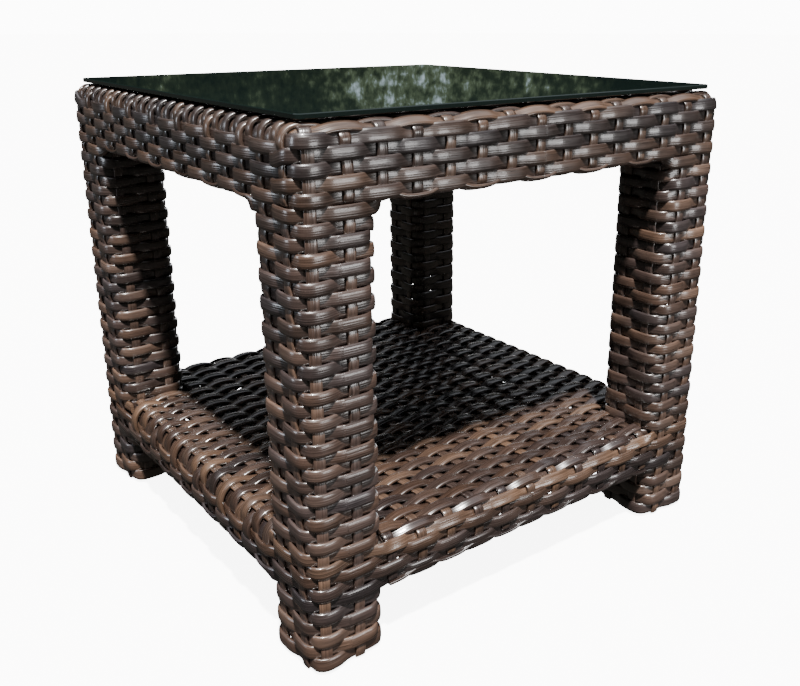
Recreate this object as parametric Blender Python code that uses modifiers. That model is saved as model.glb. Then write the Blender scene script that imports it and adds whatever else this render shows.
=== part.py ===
"""Square resin-wicker side table with a loose glass top.

Frame: +Z up, origin at the centre of the footprint on the floor, +X to the
right and -Y to the front. All lengths are in metres.
"""

import math

import bmesh
import bpy

# ---------------------------------------------------------------- dimensions
GAP = 0.0003                 # clearance kept between pieces that touch

TABLE_HALF = 0.280           # outer face of the weave from the centre line
LEG_WIDTH = 0.087            # square woven leg, outside
WEAVE_T = 0.0115             # weft + stake + weft
TUBE_R = 0.0095              # 19 mm frame tube
TUBE_WALL = 0.0015

WEAVE_BOTTOM = 0.006         # lowest weave row above the floor
PLATE_Z = 0.010              # underside of the plate that ties the leg tubes
PLATE_T = 0.003
GLIDE_R = 0.009

SHELF_TOP = 0.1235
SHELF_BOTTOM = 0.069         # the fascia hangs a little below its rails
APRON_BOTTOM = 0.449
APRON_TOP = 0.522

PAD_T = 0.002
PAD_R = 0.010
PAD_AT = 0.225
GLASS_T = 0.005
GLASS_HALF = 0.2670
GLASS_CORNER = 0.006

TOP_EDGE_R = 0.016           # rounding of the apron's upper outside edge
LOW_EDGE_R = 0.009
SHELF_EDGE_R = 0.024
SHELF_LOW_R = 0.007

# ------------------------------------------------------------ derived values
LEG_HALF = LEG_WIDTH / 2
LEG_AT = TABLE_HALF - LEG_HALF                       # leg centre line
TUBE_OFF = LEG_HALF - WEAVE_T - GAP - TUBE_R         # tube from the leg centre
CORNER_R = TUBE_R + GAP + WEAVE_T                    # plan rounding of the weave
RAIL_AT = LEG_AT + TUBE_OFF                          # centre line of outer tubes
INNER_AT = LEG_AT - TUBE_OFF                         # centre line of inner tubes
LEG_INNER = TABLE_HALF - LEG_WIDTH                   # inside face of a leg
TUBE_FOOT = PLATE_Z + PLATE_T + GAP

APRON_SHEET = APRON_TOP - WEAVE_T                    # underside of the top sheet
TOP_RAIL_Z = APRON_SHEET - GAP - TUBE_R
LOW_RAIL_Z = APRON_BOTTOM + WEAVE_T + GAP + TUBE_R
SHELF_SHEET = SHELF_TOP - WEAVE_T
SHELF_RAIL_Z = SHELF_SHEET - GAP - TUBE_R

LEGS = {
    "front_left": (-1, -1),
    "front_right": (1, -1),
    "back_left": (-1, 1),
    "back_right": (1, 1),
}

# -------------------------------------------------------------- fresh scene
for old in list(bpy.data.objects):
    bpy.data.objects.remove(old, do_unlink=True)

table = bpy.data.collections.new("wicker_side_table")
cutters = bpy.data.collections.new("cutters")
bpy.context.scene.collection.children.link(table)
bpy.context.scene.collection.children.link(cutters)
cutters.hide_render = True


def material(name, colour, roughness, metallic=0.0):
    mat = bpy.data.materials.new(name)
    mat.use_nodes = True
    shader = mat.node_tree.nodes["Principled BSDF"]
    shader.inputs["Base Color"].default_value = (*colour, 1.0)
    shader.inputs["Roughness"].default_value = roughness
    shader.inputs["Metallic"].default_value = metallic
    mat.diffuse_color = (*colour, 1.0)
    return mat


WICKER_TOP = material("resin_wicker_top", (0.105, 0.068, 0.050), 0.42)
WICKER_LEG = material("resin_wicker_leg", (0.115, 0.074, 0.054), 0.42)
WICKER_SHELF = material("resin_wicker_shelf", (0.125, 0.078, 0.055), 0.42)
FRAME = material("frame_tube", (0.030, 0.024, 0.020), 0.45, 0.6)
FRAME_RAIL = material("frame_rail", (0.034, 0.027, 0.022), 0.45, 0.6)
PLATE = material("foot_plate", (0.028, 0.023, 0.020), 0.5, 0.6)
GLASS = material("smoked_glass", (0.010, 0.018, 0.016), 0.03)
PAD = material("clear_pad", (0.75, 0.78, 0.78), 0.2)
GLIDE = material("black_glide", (0.012, 0.012, 0.012), 0.5)


def smooth(mesh, angle=40.0):
    mesh.shade_smooth()
    mesh.set_sharp_from_angle(angle=math.radians(angle))


def add_mesh(name, bm, mat, collection=table, matrix=None):
    bmesh.ops.recalc_face_normals(bm, faces=bm.faces)
    mesh = bpy.data.meshes.new(name)
    bm.to_mesh(mesh)
    bm.free()
    if mat:
        mesh.materials.append(mat)
    smooth(mesh)
    obj = bpy.data.objects.new(name, mesh)
    if matrix is not None:
        obj.location = matrix
    collection.objects.link(obj)
    return obj


def cutter(obj):
    obj.hide_render = True
    obj.display_type = "WIRE"
    return obj


def cut(obj, tool, operation="DIFFERENCE"):
    mod = obj.modifiers.new(tool.name, "BOOLEAN")
    mod.object = tool
    mod.operation = operation
    mod.solver = "EXACT"
    return mod


# ------------------------------------------------------------------- shapes
def rounded_square(half, radius, steps):
    """Corner points of a square with rounded corners, anticlockwise."""
    points = []
    for quarter in range(4):
        cx = (half - radius) * (1, -1, -1, 1)[quarter]
        cy = (half - radius) * (1, 1, -1, -1)[quarter]
        for i in range(steps + 1):
            a = math.radians(90 * quarter + 90 * i / steps)
            points.append((cx + radius * math.cos(a), cy + radius * math.sin(a)))
    return points


def loft(rings, close_ring=True):
    """A mesh through rings of equal length, capped at both ends or closed round."""
    bm = bmesh.new()
    rows = [[bm.verts.new(p) for p in ring] for ring in rings]
    count = len(rows[0])
    pairs = list(zip(rows, rows[1:]))
    if close_ring:
        pairs.append((rows[-1], rows[0]))
    for low, high in pairs:
        for i in range(count):
            j = (i + 1) % count
            bm.faces.new((low[i], low[j], high[j], high[i]))
    if not close_ring:
        bm.faces.new(rows[0][::-1])
        bm.faces.new(rows[-1])
    return bm


def square_shell(profile, corner_steps, half_ref, radius_ref):
    """A hollow square turned from a closed profile of (inset, z) points.

    inset is measured inwards from half_ref; the plan corner keeps its centre,
    so it tightens as the inset grows."""
    rings = []
    for inset, z in profile:
        radius = max(radius_ref - inset, 0.0015)
        rings.append(
            [(x, y, z) for x, y in rounded_square(half_ref - inset, radius, corner_steps)]
        )
    return loft(rings, close_ring=True)


def arc(cx, cz, radius, start, end, steps):
    return [
        (
            cx + radius * math.cos(math.radians(start + (end - start) * i / steps)),
            cz + radius * math.sin(math.radians(start + (end - start) * i / steps)),
        )
        for i in range(steps + 1)
    ]


def tube(name, start, end, mat, segments=20, radius=TUBE_R, wall=TUBE_WALL):
    """A straight round tube, open at both ends."""
    sx, sy, sz = start
    ex, ey, ez = end
    rings = []
    for (px, py, pz), rad in (
        ((sx, sy, sz), radius),
        ((ex, ey, ez), radius),
        ((ex, ey, ez), radius - wall),
        ((sx, sy, sz), radius - wall),
    ):
        ring = []
        for i in range(segments):
            a = 2 * math.pi * i / segments
            u, v = rad * math.cos(a), rad * math.sin(a)
            if abs(ez - sz) > 1e-9:
                ring.append((px + u, py + v, pz))
            elif abs(ex - sx) > 1e-9:
                ring.append((px, py + u, pz + v))
            else:
                ring.append((px + v, py, pz + u))
        rings.append(ring)
    return add_mesh(name, loft(rings), mat)


def plan_block(name, outline, low, high, mat, collection=table):
    """A flat-sided block with the given plan outline."""
    bm = loft([[(x, y, low) for x, y in outline], [(x, y, high) for x, y in outline]], False)
    return add_mesh(name, bm, mat, collection)


def turned(name, profile, at, mat, segments=16):
    """A round piece on a vertical axis, from its outer profile (radius, z),
    top to bottom, with a Screw modifier."""
    mesh = bpy.data.meshes.new(name)
    points = [(0.0, profile[0][1])] + list(profile) + [(0.0, profile[-1][1])]
    mesh.from_pydata(
        [(r, 0.0, z) for r, z in points], [(i, i + 1) for i in range(len(points) - 1)], []
    )
    mesh.materials.append(mat)
    obj = bpy.data.objects.new(name, mesh)
    obj.location = at
    table.objects.link(obj)
    screw = obj.modifiers.new("turn", "SCREW")
    screw.steps = screw.render_steps = segments
    screw.use_merge_vertices = True
    screw.merge_threshold = 0.00001
    screw.use_smooth_shade = True
    return obj


# --------------------------------------------------------------- glass top
glass_z = APRON_TOP + PAD_T + GAP
edge = 0.0008
glass = loft(
    [
        [(x, y, z) for x, y in rounded_square(GLASS_HALF - inset, GLASS_CORNER - inset, 5)]
        for inset, z in (
            (edge, glass_z),
            (0.0, glass_z + edge),
            (0.0, glass_z + GLASS_T - edge),
            (edge, glass_z + GLASS_T),
        )
    ],
    False,
)
glass_top = add_mesh("glass_top", glass, GLASS)

for name, (sx, sy) in LEGS.items():
    pad = turned(
        "glass_pad_" + name,
        [(PAD_R - 0.0006, PAD_T), (PAD_R, PAD_T - 0.0007), (PAD_R, 0.0)],
        (sx * PAD_AT, sy * PAD_AT, APRON_TOP + GAP / 2),
        PAD,
        20,
    )
    pad.scale = (1.0, 1.0, (PAD_T - GAP / 2) / PAD_T)

# ------------------------------------------------- woven top with its apron
steps = 4
lip = 0.034                                           # width of the bottom return
outer = [(0.0, APRON_BOTTOM + LOW_EDGE_R)]
outer += [(0.0, APRON_TOP - TOP_EDGE_R)]
outer += [
    (TOP_EDGE_R - x, z)
    for x, z in arc(0.0, APRON_TOP - TOP_EDGE_R, TOP_EDGE_R, 0, 90, steps)[1:]
]
low_arc = [
    (LOW_EDGE_R - x, z)
    for x, z in arc(0.0, APRON_BOTTOM + LOW_EDGE_R, LOW_EDGE_R, -90, 0, 3)[:-1]
]
profile = low_arc + outer
top_rings = [
    [(x, y, z) for x, y in rounded_square(TABLE_HALF - inset, max(CORNER_R - inset, 0.002), 5)]
    for inset, z in profile
]
# inside surface, from the underside of the sheet down to the return lip
inside = [
    (WEAVE_T + 0.006, APRON_SHEET),
    (WEAVE_T, APRON_SHEET - 0.006),
    (WEAVE_T, APRON_BOTTOM + WEAVE_T),
    (lip, APRON_BOTTOM + WEAVE_T),
    (lip, APRON_BOTTOM),
]
in_rings = [
    [(x, y, z) for x, y in rounded_square(TABLE_HALF - inset, max(CORNER_R - inset, 0.002), 5)]
    for inset, z in inside
]


def tray(name, outside, inside, mat):
    """An upside-down tray: outside rings run up to the flat top, inside rings
    run from the flat underside of the sheet down to the inner rim."""
    bm = bmesh.new()
    out_rows = [[bm.verts.new(p) for p in ring] for ring in outside]
    in_rows = [[bm.verts.new(p) for p in ring] for ring in inside]
    chain = [in_rows[-1]] + out_rows
    n = len(out_rows[0])
    for low, high in list(zip(chain, chain[1:])):
        for i in range(n):
            j = (i + 1) % n
            bm.faces.new((low[i], low[j], high[j], high[i]))
    bm.faces.new(out_rows[-1])
    bm.faces.new(in_rows[0][::-1])
    for high, low in zip(in_rows, in_rows[1:]):
        for i in range(n):
            j = (i + 1) % n
            bm.faces.new((high[i], high[j], low[j], low[i]))
    return add_mesh(name, bm, mat)


woven_top = tray("woven_top", top_rings, in_rings, WICKER_TOP)
# the bottom return is left out over each leg, where the leg tubes rise into the top
for name, (sx, sy) in LEGS.items():
    opening = plan_block(
        "leg_opening_" + name,
        [
            (sx * LEG_AT + x, sy * LEG_AT + y)
            for x, y in rounded_square(LEG_HALF - WEAVE_T + 0.0003, CORNER_R - WEAVE_T, 5)
        ],
        APRON_BOTTOM - 0.02,
        APRON_BOTTOM + WEAVE_T + 0.004,
        None,
        cutters,
    )
    cut(woven_top, cutter(opening))

# ------------------------------------------------------------- woven shelf
shelf_profile = [
    (SHELF_LOW_R - x, z)
    for x, z in arc(0.0, SHELF_BOTTOM + SHELF_LOW_R, SHELF_LOW_R, -90, 0, 2)
]
shelf_profile += [
    (SHELF_EDGE_R - x, z)
    for x, z in arc(0.0, SHELF_TOP - SHELF_EDGE_R, SHELF_EDGE_R, 0, 90, steps)
]
shelf_lip = 0.034
shelf_inside = [
    (WEAVE_T + 0.004, SHELF_SHEET),
    (WEAVE_T, SHELF_SHEET - 0.004),
    (WEAVE_T, SHELF_BOTTOM + WEAVE_T),
    (shelf_lip, SHELF_BOTTOM + WEAVE_T),
    (shelf_lip, SHELF_BOTTOM),
]


def shelf_ring(inset, z):
    return [(x, y, z) for x, y in rounded_square(TABLE_HALF - inset, max(CORNER_R - inset, 0.002), 3)]


woven_shelf = tray(
    "woven_shelf",
    [shelf_ring(i, z) for i, z in shelf_profile],
    [shelf_ring(i, z) for i, z in shelf_inside],
    WICKER_SHELF,
)
# the shelf's corners are cut to the outline of the legs that stand in them
for name, (sx, sy) in LEGS.items():
    notch = plan_block(
        "shelf_notch_" + name,
        [
            (sx * LEG_AT + x, sy * LEG_AT + y)
            for x, y in rounded_square(LEG_HALF + GAP, CORNER_R + GAP, 5)
        ],
        SHELF_BOTTOM - 0.02,
        SHELF_TOP + 0.02,
        None,
        cutters,
    )
    cut(woven_shelf, cutter(notch))

# --------------------------------------------------------------- woven legs
leg_low = WEAVE_BOTTOM
leg_high = APRON_BOTTOM - GAP
for name, (sx, sy) in LEGS.items():
    shell = square_shell(
        [
            (0.002, leg_low),
            (0.0, leg_low + 0.003),
            (0.0, leg_high),
            (WEAVE_T, leg_high),
            (WEAVE_T, leg_low),
        ],
        4,
        LEG_HALF,
        CORNER_R,
    )
    leg = add_mesh(name + "_leg_weave", shell, WICKER_LEG, table, (sx * LEG_AT, sy * LEG_AT, 0.0))
    # holes in the two inward walls for the shelf rails
    for axis in ("x", "y"):
        length = 0.040
        bm = bmesh.new()
        bmesh.ops.create_cone(
            bm, cap_ends=True, segments=20, radius1=TUBE_R + GAP, radius2=TUBE_R + GAP, depth=length
        )
        for v in bm.verts:
            x, y, z = v.co
            v.co = (z, x, y) if axis == "x" else (x, z, y)
        if axis == "x":
            at = (sx * LEG_INNER, sy * RAIL_AT, SHELF_RAIL_Z)
        else:
            at = (sx * RAIL_AT, sy * LEG_INNER, SHELF_RAIL_Z)
        hole = cutter(add_mesh("rail_hole_%s_%s" % (name, axis), bm, None, cutters, at))
        cut(leg, hole)

# -------------------------------------------------------------- frame tubes
tube_top_outer = TOP_RAIL_Z - TUBE_R - GAP
for name, (sx, sy) in LEGS.items():
    spots = {
        "outer": (sx * RAIL_AT, sy * RAIL_AT),
        "front" if sy < 0 else "back": (sx * INNER_AT, sy * RAIL_AT),
        "side": (sx * RAIL_AT, sy * INNER_AT),
        "inner": (sx * INNER_AT, sy * INNER_AT),
    }
    for spot, (x, y) in spots.items():
        tube(name + "_leg_tube_" + spot, (x, y, TUBE_FOOT), (x, y, tube_top_outer), FRAME)

    # plate under the four tubes, with a hole for each glide's stem
    bore = TUBE_R - TUBE_WALL
    half = LEG_HALF - WEAVE_T - GAP
    plate = plan_block(
        name + "_foot_plate",
        [(sx * LEG_AT + x, sy * LEG_AT + y) for x, y in rounded_square(half, TUBE_R, 5)],
        PLATE_Z,
        PLATE_Z + PLATE_T,
        PLATE,
    )
    for spot, (x, y) in spots.items():
        bm = bmesh.new()
        bmesh.ops.create_cone(
            bm, cap_ends=True, segments=16, radius1=0.0055, radius2=0.0055, depth=0.02
        )
        hole = cutter(
            add_mesh(
                "stem_hole_%s_%s" % (name, spot), bm, None, cutters, (x, y, PLATE_Z + PLATE_T / 2)
            )
        )
        cut(plate, hole)
        turned(
            name + "_glide_" + spot,
            [
                (0.0046, 0.024),
                (0.0052, 0.0225),
                (0.0052, PLATE_Z - GAP),
                (GLIDE_R, PLATE_Z - GAP),
                (GLIDE_R, 0.0016),
                (GLIDE_R - 0.0016, 0.0),
            ],
            (x, y, 0.0),
            GLIDE,
            14,
        )

# square ring of tube under the rim of the woven top, bent at its corners
bend = 0.012                                          # centre-line bend radius
ring_obj = None
for part_name, radius in (("top_frame", TUBE_R), ("top_frame_bore", TUBE_R - TUBE_WALL)):
    section = [
        (radius * math.cos(2 * math.pi * i / 20), radius * math.sin(2 * math.pi * i / 20))
        for i in range(20)
    ]
    rings = [
        [(x, y, TOP_RAIL_Z + v) for x, y in rounded_square(RAIL_AT + u, bend + u, 5)]
        for u, v in section
    ]
    shape = loft(rings)
    if part_name == "top_frame":
        ring_obj = add_mesh(part_name, shape, FRAME_RAIL)
    else:
        cut(ring_obj, cutter(add_mesh(part_name, shape, None, cutters)))
bm = bmesh.new()
bmesh.ops.create_cone(bm, cap_ends=True, segments=10, radius1=0.002, radius2=0.002, depth=0.012)
for v in bm.verts:
    x, y, z = v.co
    v.co = (x, z, y)
vent = cutter(add_mesh("vent_hole", bm, None, cutters, (0.06, RAIL_AT - TUBE_R, TOP_RAIL_Z)))
cut(ring_obj, vent)

# rails between the legs: below the top frame, and round the shelf
for level, z in (("apron", LOW_RAIL_Z), ("shelf", SHELF_RAIL_Z)):
    reach = INNER_AT - TUBE_R - GAP
    tube(level + "_rail_front", (-reach, -RAIL_AT, z), (reach, -RAIL_AT, z), FRAME_RAIL)
    tube(level + "_rail_back", (-reach, RAIL_AT, z), (reach, RAIL_AT, z), FRAME_RAIL)
    tube(level + "_rail_left", (-RAIL_AT, -reach, z), (-RAIL_AT, reach, z), FRAME_RAIL)
    tube(level + "_rail_right", (RAIL_AT, -reach, z), (RAIL_AT, reach, z), FRAME_RAIL)

# bars that carry the woven sheets
reach = RAIL_AT - TUBE_R - GAP
for side, sx in (("left", -1), ("right", 1)):
    tube(
        "top_bar_" + side,
        (sx * INNER_AT, -reach, TOP_RAIL_Z),
        (sx * INNER_AT, reach, TOP_RAIL_Z),
        FRAME_RAIL,
    )
    tube(
        "shelf_bar_" + side,
        (sx * 0.088, -reach, SHELF_RAIL_Z),
        (sx * 0.088, reach, SHELF_RAIL_Z),
        FRAME_RAIL,
    )
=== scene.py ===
import math

import bpy
import numpy as np
from mathutils import Matrix, Vector


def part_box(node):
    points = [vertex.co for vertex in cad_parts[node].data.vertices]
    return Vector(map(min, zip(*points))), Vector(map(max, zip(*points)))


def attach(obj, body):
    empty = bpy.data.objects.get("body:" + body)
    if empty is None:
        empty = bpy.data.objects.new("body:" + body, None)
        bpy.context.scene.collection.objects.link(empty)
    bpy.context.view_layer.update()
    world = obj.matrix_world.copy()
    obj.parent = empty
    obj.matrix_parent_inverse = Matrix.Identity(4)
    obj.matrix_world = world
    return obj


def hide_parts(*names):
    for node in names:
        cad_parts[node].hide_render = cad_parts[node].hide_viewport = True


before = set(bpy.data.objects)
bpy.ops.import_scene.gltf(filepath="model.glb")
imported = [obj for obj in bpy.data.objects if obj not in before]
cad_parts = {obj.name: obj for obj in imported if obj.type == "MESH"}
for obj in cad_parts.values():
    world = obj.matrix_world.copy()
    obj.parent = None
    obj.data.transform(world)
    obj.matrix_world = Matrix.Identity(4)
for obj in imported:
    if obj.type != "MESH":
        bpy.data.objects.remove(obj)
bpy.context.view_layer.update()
rng = np.random.default_rng(41)

# ---------------------------------------------------------------- sizes, metres
top_low, top_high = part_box("woven_top")
shelf_low, shelf_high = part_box("woven_shelf")
leg_low, leg_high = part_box("front_left_leg_weave")

HALF = top_high.x                      # outside of the weave
CORNER = 0.0213                        # plan corner of table and legs
LEG = leg_high.x - leg_low.x
LEG_AT = HALF - LEG / 2
LEG_IN = HALF - LEG                    # inside face of the legs
FOOT = leg_low.z
TOP, APRON_LOW = top_high.z, top_low.z
SHELF, SHELF_LOW = shelf_high.z, shelf_low.z

WEFT_T, STAKE_T = 0.0041, 0.0031       # strand thicknesses
STAKE_W = 0.0112
DEEP = 0.0042                          # envelope to the middle of the weave
ROW = 0.01239                          # pitch of the rows

# ---------------------------------------------------------------- colour of the strands
ESPRESSO = np.array([0.0078, 0.0057, 0.0055])
COOL = np.array([0.0275, 0.0212, 0.0224])
BROWN = np.array([0.0570, 0.0328, 0.0232])
TAN = np.array([0.1650, 0.0980, 0.0620])


def slow_noise(length, period, seed):
    """A smooth 1D random curve, about -1 to 1, as a function of arclength."""
    g = np.random.default_rng(seed)
    n = int(math.ceil(length / period)) + 3
    knots = g.uniform(-1, 1, n)

    def f(s):
        u = np.clip(s / period, 0, n - 2.001)
        i = u.astype(int)
        t = u - i
        t = t * t * (3 - 2 * t)
        return knots[i] * (1 - t) + knots[i + 1] * t

    return f


def strand_colour(s, length, warmth, light, seed):
    """Linear colour along a strand: warmth 0 grey to 1 brown, light -1 dark to 1 tan."""
    a = slow_noise(length, 0.16, seed)(s)
    b = slow_noise(length, 0.09, seed + 7)(s)
    c = slow_noise(length, 0.30, seed + 13)(s)
    w = np.clip(warmth + 0.34 * a + 0.22 * c, 0, 1)[:, None]
    col = COOL * (1 - w) + BROWN * w
    lift = light + 0.30 * b
    up = np.clip(lift, 0, 1)[:, None]
    down = np.clip(-lift, 0, 1)[:, None]
    col = col * (1 - up) + TAN * up
    return col * (1 - down) + ESPRESSO * down


# ---------------------------------------------------------------- outlines and profiles
class Outline:
    """A rounded square in plan, run through counterclockwise by arclength from the middle of its -Y side."""

    def __init__(self, cx, cy, half, corner):
        self.c = (cx, cy)
        self.half, self.r = half, corner
        self.flat = half - corner
        self.arc = corner * math.pi / 2
        self.side = 2 * self.flat + self.arc
        self.length = 4 * self.side

    def at(self, s):
        """Points (n,2) and outward normals (n,2)."""
        s = np.asarray(s, float) % self.length
        t = (s + self.flat) % self.length
        k = np.floor(t / self.side).astype(int) % 4
        v = t - k * self.side
        on_flat = v <= 2 * self.flat
        x = np.where(on_flat, v - self.flat, 0.0)
        ang = np.where(on_flat, 0.0, (v - 2 * self.flat) / self.r)
        px = np.where(on_flat, x, self.flat + self.r * np.sin(ang))
        py = np.where(on_flat, -self.half, -self.flat - self.r * np.cos(ang))
        nx, ny = np.sin(ang), -np.cos(ang)
        quarter = k * math.pi / 2
        c, d = np.cos(quarter), np.sin(quarter)
        p = np.stack([px * c - py * d + self.c[0], px * d + py * c + self.c[1]], -1)
        n = np.stack([nx * c - ny * d, nx * d + ny * c], -1)
        return p, n

    def near(self, x, y):
        """Arclength of the outline's point nearest to (x, y)."""
        s = np.linspace(0, self.length, 6000, endpoint=False)
        p, _ = self.at(s)
        return float(s[np.argmin((p[:, 0] - x) ** 2 + (p[:, 1] - y) ** 2)])


class Profile:
    """Section of a panel's edge, from the top face (p < 0) over the edge (p = 0 at its start), down, and under."""

    def __init__(self, top, low, r_top, r_low):
        self.top, self.low, self.rt, self.rl = top, low, r_top, r_low
        self.a = r_top * math.pi / 2
        self.b = self.a + (top - r_top) - (low + r_low)
        self.c = self.b + r_low * math.pi / 2

    def at(self, p):
        """Inward distance from the outline, height, and the normal's outward and upward parts."""
        p = np.asarray(p, float)
        phi = np.clip(math.pi / 2 - p / self.rt, 0, math.pi / 2)
        psi = np.clip((p - self.b) / self.rl, 0, math.pi / 2)
        d = self.rt * (1 - np.cos(phi)) + np.maximum(-p, 0)
        z = self.top - self.rt * (1 - np.sin(phi))
        z = z - np.clip(p - self.a, 0, self.b - self.a)
        d = d + self.rl * (1 - np.cos(psi)) + np.maximum(p - self.c, 0)
        z = z - self.rl * np.sin(psi)
        no = np.where(p < self.a, np.cos(phi), np.cos(psi))
        nz = np.where(p < self.a, np.sin(phi), -np.sin(psi))
        return d, z, no, nz

    def of_height(self, z):
        grid = np.linspace(0, self.c, 4000)
        return float(grid[np.argmin(abs(self.at(grid)[1] - z))])


def on_profile(outline, profile, s, p):
    """Envelope points and normals at outline arclength s and profile position p."""
    s, p = np.broadcast_arrays(np.asarray(s, float), np.asarray(p, float))
    xy, n = outline.at(s)
    d, z, no, nz = profile.at(p)
    pts = np.concatenate([xy - n * d[:, None], z[:, None]], 1)
    nrm = np.concatenate([n * no[:, None], nz[:, None]], 1)
    return pts, nrm


# ---------------------------------------------------------------- strands
SECTION = np.array([
    (-1.00, -0.15), (-0.985, 0.34), (-0.895, 0.69), (-0.50, 0.93), (0.0, 1.00), (0.50, 0.93),
    (0.895, 0.69), (0.985, 0.34), (1.00, -0.15), (0.92, -0.80), (0.0, -0.98), (-0.92, -0.80),
])


class Bundle:
    """Strands collected into one mesh."""

    def __init__(self, name):
        self.name = name
        self.v, self.f, self.caps, self.grain, self.tint = [], [], [], [], []
        self.count = 0
        self.made = 0

    def strand(self, pts, nrm, cross, width, thick, closed=False, step=0.0034, sharp=1.1, warmth=0.5, light=0.0, wobble=0.0, scale=None):
        """pts, nrm: dense base path on the envelope. cross: (point or arclength, height) over the middle of the weave."""
        seed = int(rng.integers(1 << 30))
        pts = np.asarray(pts, float)
        nrm = np.asarray(nrm, float)
        scale = np.ones(len(pts)) if scale is None else np.asarray(scale, float)
        if closed:
            pts = np.concatenate([pts, pts[:1]])
            nrm = np.concatenate([nrm, nrm[:1]])
            scale = np.concatenate([scale, scale[:1]])
        seg = np.linalg.norm(np.diff(pts, axis=0), axis=1)
        keep = np.concatenate([[True], seg > 1e-7])
        pts, nrm, scale = pts[keep], nrm[keep], scale[keep]
        arc = np.concatenate([[0], np.cumsum(np.linalg.norm(np.diff(pts, axis=0), axis=1))])
        length = arc[-1]
        marks = []
        for where, height in cross:
            if np.ndim(where):
                where = arc[np.argmin(((pts - np.asarray(where)) ** 2).sum(1))]
            marks.append((float(where), height))
        marks.sort()
        if closed:
            marks = [(marks[-1][0] - length, marks[-1][1])] + marks + [(marks[0][0] + length, marks[0][1])]
        at = np.array([m[0] for m in marks])
        hs = np.array([m[1] for m in marks])
        n = max(3, int(round(length / step)))
        s = np.linspace(0, length, n, endpoint=False) if closed else np.linspace(0, length, n + 1)
        k = np.clip(np.searchsorted(at, s, side="right") - 1, 0, len(at) - 2)
        u = np.clip((s - at[k]) / np.maximum(at[k + 1] - at[k], 1e-9), 0, 1)
        shape = np.tanh(sharp * np.cos(math.pi * u)) / math.tanh(sharp)
        h = (hs[k] + hs[k + 1]) / 2 + (hs[k] - hs[k + 1]) / 2 * shape
        base = np.stack([np.interp(s, arc, pts[:, i]) for i in range(3)], -1)
        normal = np.stack([np.interp(s, arc, nrm[:, i]) for i in range(3)], -1)
        normal /= np.linalg.norm(normal, axis=1)[:, None]
        centre = base + normal * (h - DEEP)[:, None]
        if closed:
            tangent = np.roll(centre, -1, 0) - np.roll(centre, 1, 0)
        else:
            tangent = np.gradient(centre, axis=0)
        tangent /= np.linalg.norm(tangent, axis=1)[:, None]
        across = np.cross(tangent, normal)
        across /= np.linalg.norm(across, axis=1)[:, None]
        if wobble:
            shift = wobble * slow_noise(length, 0.035, seed + 3)(s)
            if closed:
                shift *= np.clip(np.minimum(s, length - s) / 0.03, 0, 1)
            centre = centre + across * shift[:, None]
            if closed:
                tangent = np.roll(centre, -1, 0) - np.roll(centre, 1, 0)
            else:
                tangent = np.gradient(centre, axis=0)
            tangent /= np.linalg.norm(tangent, axis=1)[:, None]
            across = np.cross(tangent, normal)
            across /= np.linalg.norm(across, axis=1)[:, None]
        up = np.cross(across, tangent)
        m = len(SECTION)
        w = SECTION[:, 0] * width / 2
        t = SECTION[:, 1] * thick / 2
        wide = np.interp(s, arc, scale)[:, None] * w[None, :]
        v = centre[:, None, :] + across[:, None, :] * wide[:, :, None] + up[:, None, :] * t[None, :, None]
        rings = len(s)
        i = np.arange(rings if closed else rings - 1)
        j = (i + 1) % rings
        q = np.arange(m)
        r = (q + 1) % m
        quads = np.stack([
            i[:, None] * m + q[None, :], i[:, None] * m + r[None, :],
            j[:, None] * m + r[None, :], j[:, None] * m + q[None, :],
        ], -1).reshape(-1, 4)
        self.v.append(v.reshape(-1, 3))
        self.f.append(quads + self.count)
        if not closed:
            self.caps.append([self.count + a for a in range(m)][::-1])
            self.caps.append([self.count + (rings - 1) * m + a for a in range(m)])
        col = strand_colour(s, length, warmth, light, seed)
        if closed:
            first = strand_colour(s[:1], length, warmth, light, seed)
            fade = np.clip((s - (length - 0.08)) / 0.08, 0, 1)[:, None]
            col = col * (1 - fade) + first * fade
        self.tint.append(np.repeat(np.concatenate([col, np.ones((rings, 1))], 1), m, 0))
        ident = self.made + (seed % 997) * 0.37
        g = np.zeros((rings, m, 3))
        g[:, :, 0] = (s + (seed % 1013) * 0.013)[:, None]
        g[:, :, 1] = w[None, :]
        g[:, :, 2] = ident
        self.grain.append(g.reshape(-1, 3))
        self.count += rings * m
        self.made += 1

    def build(self, material):
        v = np.concatenate(self.v).astype(np.float32)
        f = np.concatenate(self.f).astype(np.int32)
        caps = self.caps
        mesh = bpy.data.meshes.new(self.name)
        mesh.vertices.add(len(v))
        mesh.vertices.foreach_set("co", v.ravel())
        loops = np.concatenate([f.ravel(), np.array(caps, np.int32).ravel()]) if caps else f.ravel()
        m = len(SECTION)
        starts = np.concatenate([np.arange(len(f)) * 4, len(f) * 4 + np.arange(len(caps)) * m]) if caps else np.arange(len(f)) * 4
        mesh.loops.add(len(loops))
        mesh.loops.foreach_set("vertex_index", loops.astype(np.int32))
        mesh.polygons.add(len(starts))
        mesh.polygons.foreach_set("loop_start", starts.astype(np.int32))
        mesh.update(calc_edges=True)
        mesh.validate()
        smooth = np.ones(len(starts), bool)
        smooth[len(f):] = False
        mesh.polygons.foreach_set("use_smooth", smooth)
        g = mesh.attributes.new("grain", "FLOAT_VECTOR", "POINT")
        g.data.foreach_set("vector", np.concatenate(self.grain).astype(np.float32).ravel())
        t = mesh.attributes.new("tint", "FLOAT_COLOR", "POINT")
        t.data.foreach_set("color", np.concatenate(self.tint).astype(np.float32).ravel())
        mesh.set_sharp_from_angle(angle=math.radians(50))
        mesh.materials.append(material)
        obj = bpy.data.objects.new(self.name, mesh)
        bpy.context.scene.collection.objects.link(obj)
        return obj


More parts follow.
